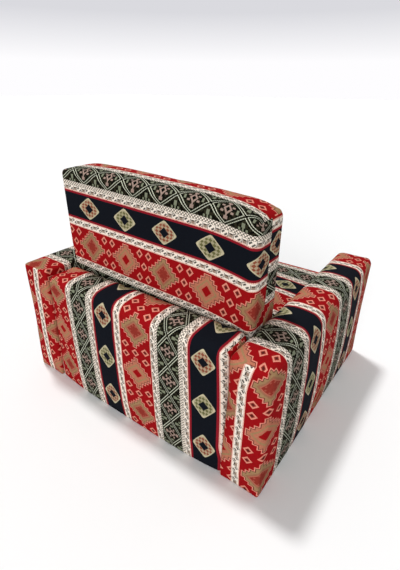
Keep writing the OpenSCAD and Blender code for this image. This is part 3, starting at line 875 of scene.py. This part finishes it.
class SOFA_OT_covers(bpy.types.Operator):
    """Sews the seven kilim covers, each over its foam block"""
    bl_idname = "sofa.covers"
    bl_label = "Kilim covers"

    def execute(self, context):
        sizes = context.scene.sofa_cover
        cloth = kilim(context.scene.sofa_kilim)
        padded = {name: block for name, block in BLOCKS.items() if block.can_swell()}
        moved = swelled(context, padded, sizes)
        for name, block in BLOCKS.items():
            p, quads, uv, grids = block.mesh(sizes.step / MM)
            points, out = block.skin(p)
            lift = sizes.ripple / MM * block.freedom(p) * smooth_noise(points, 90.0, block.seed)
            if name in moved:
                lift += over_grids(*moved[name], grids, len(p))
            lift -= seam_pull(points, block.seams, sizes.seam_depth / MM, block.seed + 50)
            points = points + out * lift[:, None] + block.sag(p) + block.middle
            piece = new_piece(name + "_kilim_cover", points * MM, quads, cloth)
            layer = piece.data.uv_layers.new(name="cloth")
            layer.uv.foreach_set("vector", (uv.reshape(-1, 2) * MM).ravel())
            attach(piece, block.body)
            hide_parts(name + "_cover")
        return {"FINISHED"}


# Distance between the lines of a core's mesh, and how far it lies inside the cover's skin, in mm
FOAM_STEP, FOAM_INSET = 22.0, 3.6


class SOFA_OT_foam_cores(bpy.types.Operator):
    """Cuts the seven foam cores inside the covers"""
    bl_idname = "sofa.foam_cores"
    bl_label = "Foam cores"

    def execute(self, context):
        # Cut polyurethane foam: matt and cream, its open cells of about 1 mm show as fine specks of shadow
        cells = ("TexVoronoi", {}, {"Scale": 900.0})
        material = textured("polyurethane_foam_cut", cells, "Distance", "#D9C389", "#F2E4B8", (0.5, 0.0006),
                            {"Roughness": 0.95, "Specular IOR Level": 0.2})
        for name, block in BLOCKS.items():
            p, quads, _, _ = block.mesh(FOAM_STEP)
            points, out = block.skin(p)
            inset = FOAM_INSET + 0.2 * smooth_noise(points, 40.0, 5)
            points = points - out * inset[:, None] + block.sag(p) + block.middle
            piece = new_piece(name + "_foam_core", points * MM, quads, material)
            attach(piece, block.body)
            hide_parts(name + "_foam")
        return {"FINISHED"}


# Lines of a hinge tape's mesh along and across it, and how much thinner its middle is than its edges
TAPE_LINES, TAPE_ROWS = 121, 25
TAPE_THINNER = 0.18


class SOFA_OT_hinge_tapes(bpy.types.Operator):
    """Sews the two hinge tapes, each one flat strip with close lines at its fold line"""
    bl_idname = "sofa.hinge_tapes"
    bl_label = "Hinge tapes"

    def execute(self, context):
        material = webbing("polyester_hinge_webbing", "#5C0F16", "#8C1A22")
        for name, lower, upper in (("front_hinge_tape", "base", "middle_slab"),
                                   ("rear_hinge_tape", "middle_slab", "top_slab")):
            low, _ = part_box(name + "_lower")
            _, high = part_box(name + "_upper")
            fold = (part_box(name + "_lower")[1].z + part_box(name + "_upper")[0].z) / 2
            points, faces = tape_mesh(np.array(low), np.array(high), fold)
            piece = new_piece(name, points, faces, material)
            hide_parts(name + "_lower", name + "_upper")
            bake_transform(piece)
        return {"FINISHED"}


def tape_mesh(low, high, fold):
    """A flat strip of webbing, closed, its thickness from low y to high y. Its face is a grid in x and z,
    with close lines at the fold, and its two long edges are a little thicker, like a woven selvedge."""
    x = np.linspace(low[0], high[0], TAPE_LINES)
    z = np.unique(np.concatenate([np.linspace(low[2], high[2], TAPE_ROWS), fold + MM * np.arange(-5, 6)]))
    grid_x, grid_z = np.meshgrid(x, z, indexing="ij")
    middle, half = (low[1] + high[1]) / 2, (high[1] - low[1]) / 2
    rib = 1 - TAPE_THINNER * (0.5 - 0.5 * np.cos(2 * math.pi * (grid_z - low[2]) / (high[2] - low[2])))
    sides = [np.stack([grid_x, middle + way * half * rib, grid_z], -1).reshape(-1, 3) for way in (-1, 1)]
    count, rows = len(x), len(z)
    index = np.arange(count * rows).reshape(count, rows)
    quad = grid_quads(index)
    rim = np.concatenate([index[:, 0], index[-1, 1:], index[-2::-1, -1], index[0, -2:0:-1]])
    following = np.roll(rim, -1)
    far = count * rows
    wall = np.stack([rim, rim + far, following + far, following], -1)
    return np.concatenate(sides), np.concatenate([quad, quad[:, ::-1] + far, wall])


class SOFA_OT_fittings(bpy.types.Operator):
    """Gives the zips, their sliders and the joining strips their finish"""
    bl_idname = "sofa.fittings"
    bl_label = "Zips and joining strips"

    def execute(self, context):
        # Nylon zip, a moulded coil on woven polyester tape: black with a soft shine
        nylon = textured("nylon_coil_zip", ("TexNoise", {}, {"Scale": 900.0}), 0, "#141416", "#2A2A2D",
                         (0.4, 0.0004), {"Roughness": 0.45})
        # Die-cast zinc with a black nickel plating: a dark metal, its shine a little dulled and cloudy
        slider = textured("black_nickel_die_cast_zinc", ("TexNoise", {}, {"Scale": 500.0}), 0, "#6E6E72",
                          "#8E8E92", None, {"Metallic": 1.0, "Roughness": 0.35})
        finishes = {"_zip": nylon, "_zip_slider": slider,
                    "_joining_strips": webbing("hook_and_loop_webbing", "#242427", "#3E3E42")}
        for name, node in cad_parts.items():
            for ending, finish in finishes.items():
                if name.endswith(ending):
                    node.data.materials.clear()
                    node.data.materials.append(finish)
        return {"FINISHED"}


# The photograph's camera, fitted to the edges of the blocks: place in m, angles in radians, focal length in
# pixels of a 400 x 570 picture
CAMERA_AT = (-0.718, 1.0156, 0.961)
CAMERA_YAW, CAMERA_PITCH, CAMERA_ROLL = 0.625, 0.474, 0.0079
CAMERA_FOCUS = 383.87
PICTURE_H = 570
AXIS_ABOVE_MIDDLE = 1.5
# Half the floor's side, and how far it lies below the sofa's feet, in m
FLOOR_REACH, FLOOR_DROP = 40.0, 0.0004


class SOFA_OT_stage(bpy.types.Operator):
    """Sets the pale floor, the soft light and the camera"""
    bl_idname = "sofa.stage"
    bl_label = "Stage"

    def execute(self, context):
        scene, light = context.scene, context.scene.sofa_stage
        scene.view_settings.view_transform = "Standard"
        # White background paper: dead matt, its light on the sofa weaker than its tone in the picture
        floor_material, tree = new_material("white_paper_floor")
        rays = add_node(tree, "LightPath").outputs
        shown = draw_sum(tree, rays, ("max", "Is Camera Ray", "Is Glossy Ray"))
        tones = {0: shown, 6: (0.60, 0.60, 0.60, 1), 7: (light.floor_tone,) * 3 + (1,)}
        tone = add_node(tree, *COLOUR_MIX, tones)
        matt = add_node(tree, "BsdfDiffuse", links={"Color": tone.outputs[2]})
        add_node(tree, "OutputMaterial", links={"Surface": matt.outputs[0]})
        across = np.linspace(-FLOOR_REACH, FLOOR_REACH, 5)
        x, y = np.meshgrid(across, across, indexing="ij")
        points = np.stack([x, y, np.full_like(x, -FLOOR_DROP)], -1).reshape(-1, 3)
        quads = grid_quads(np.arange(x.size).reshape(x.shape))
        new_piece("floor", points, quads, floor_material, smooth=False)

        world = bpy.data.worlds.new("studio")
        world.use_nodes = True
        scene.world = world
        tree = world.node_tree
        tree.nodes.clear()
        rays = add_node(tree, "LightPath").outputs
        seen = draw_sum(tree, rays, ("max", ("max", "Is Camera Ray", "Is Glossy Ray"), "Is Transmission Ray"))
        strength = add_node(tree, "Mix", {"data_type": "FLOAT"}, {0: seen, 2: light.fill, 3: 1.0})
        # The backdrop is pale at floor level and grows greyer with height
        direction = add_node(tree, "TexCoord")
        split = add_node(tree, "SeparateXYZ", links={0: direction.outputs["Generated"]})
        rise = {"Value": split.outputs[2], "From Min": 0.05, "From Max": 0.14}
        height = add_node(tree, "MapRange", links=rise)
        tones = {0: height.outputs[0], 6: linear("#FEFDFF"), 7: linear("#DADADF")}
        backdrop = add_node(tree, *COLOUR_MIX, tones)
        tone = add_node(tree, *COLOUR_MIX, {0: seen, 6: (1, 1, 1, 1), 7: backdrop.outputs[2]})
        sky = add_node(tree, "Background", links={"Color": tone.outputs[2], "Strength": strength.outputs[0]})
        add_node(tree, "OutputWorld", links={"Surface": sky.outputs[0]})

        # Each lamp's strength, the angle that it covers in degrees, and the way that it shines
        for name, strength, spread, towards in (("soft_key", light.key, 35, (0.28, -0.87, -0.34)),
                                                ("overhead", light.overhead, 7, (-0.346, 0.125, -1.0)),
                                                ("soft_front", light.front, 120, (-0.40, 0.80, -0.42))):
            lamp = bpy.data.lights.new(name, "SUN")
            lamp.energy = strength
            lamp.angle = math.radians(spread)
            holder = bpy.data.objects.new(name, lamp)
            holder.rotation_euler = Vector(towards).to_track_quat("-Z", "Y").to_euler()
            scene.collection.objects.link(holder)

        camera = bpy.data.cameras.new("photo_view")
        camera.sensor_fit = "VERTICAL"
        camera.sensor_height = 36.0
        camera.lens = CAMERA_FOCUS / PICTURE_H * camera.sensor_height
        camera.shift_y = -AXIS_ABOVE_MIDDLE / PICTURE_H
        view = bpy.data.objects.new("photo_view", camera)
        view.matrix_world = (Matrix.Translation(CAMERA_AT) @ Matrix.Rotation(math.pi + CAMERA_YAW, 4, "Z")
                             @ Matrix.Rotation(math.pi / 2 - CAMERA_PITCH, 4, "X")
                             @ Matrix.Rotation(CAMERA_ROLL, 4, "Z"))
        scene.collection.objects.link(view)
        scene.camera = view
        return {"FINISHED"}


class SOFA_PT_panel(bpy.types.Panel):
    """Lists the steps that dress the sofa"""
    bl_idname = "SOFA_PT_panel"
    bl_label = "Fold-out sofa"
    bl_space_type = "VIEW_3D"
    bl_region_type = "UI"
    bl_category = "Sofa"

    def draw(self, context):
        scene = context.scene
        for step in STEPS:
            self.layout.operator(step.bl_idname)
        for group in (scene.sofa_kilim, scene.sofa_cover, scene.sofa_stage):
            for name in group.__annotations__:
                self.layout.prop(group, name)


GROUPS = {"sofa_kilim": SofaKilim, "sofa_cover": SofaCover, "sofa_stage": SofaStage}
STEPS = (SOFA_OT_covers, SOFA_OT_foam_cores, SOFA_OT_hinge_tapes, SOFA_OT_fittings, SOFA_OT_stage)


def register():
    for kind in (*GROUPS.values(), *STEPS, SOFA_PT_panel):
        bpy.utils.register_class(kind)
    for name, group in GROUPS.items():
        setattr(bpy.types.Scene, name, bpy.props.PointerProperty(type=group))


def unregister():
    for name in GROUPS:
        delattr(bpy.types.Scene, name)
    for kind in (SOFA_PT_panel, *reversed(STEPS), *GROUPS.values()):
        bpy.utils.unregister_class(kind)


def main():
    register()
    bpy.ops.sofa.covers()
    bpy.ops.sofa.foam_cores()
    bpy.ops.sofa.hinge_tapes()
    bpy.ops.sofa.fittings()
    bpy.ops.sofa.stage()


if __name__ == "__main__":
    main()
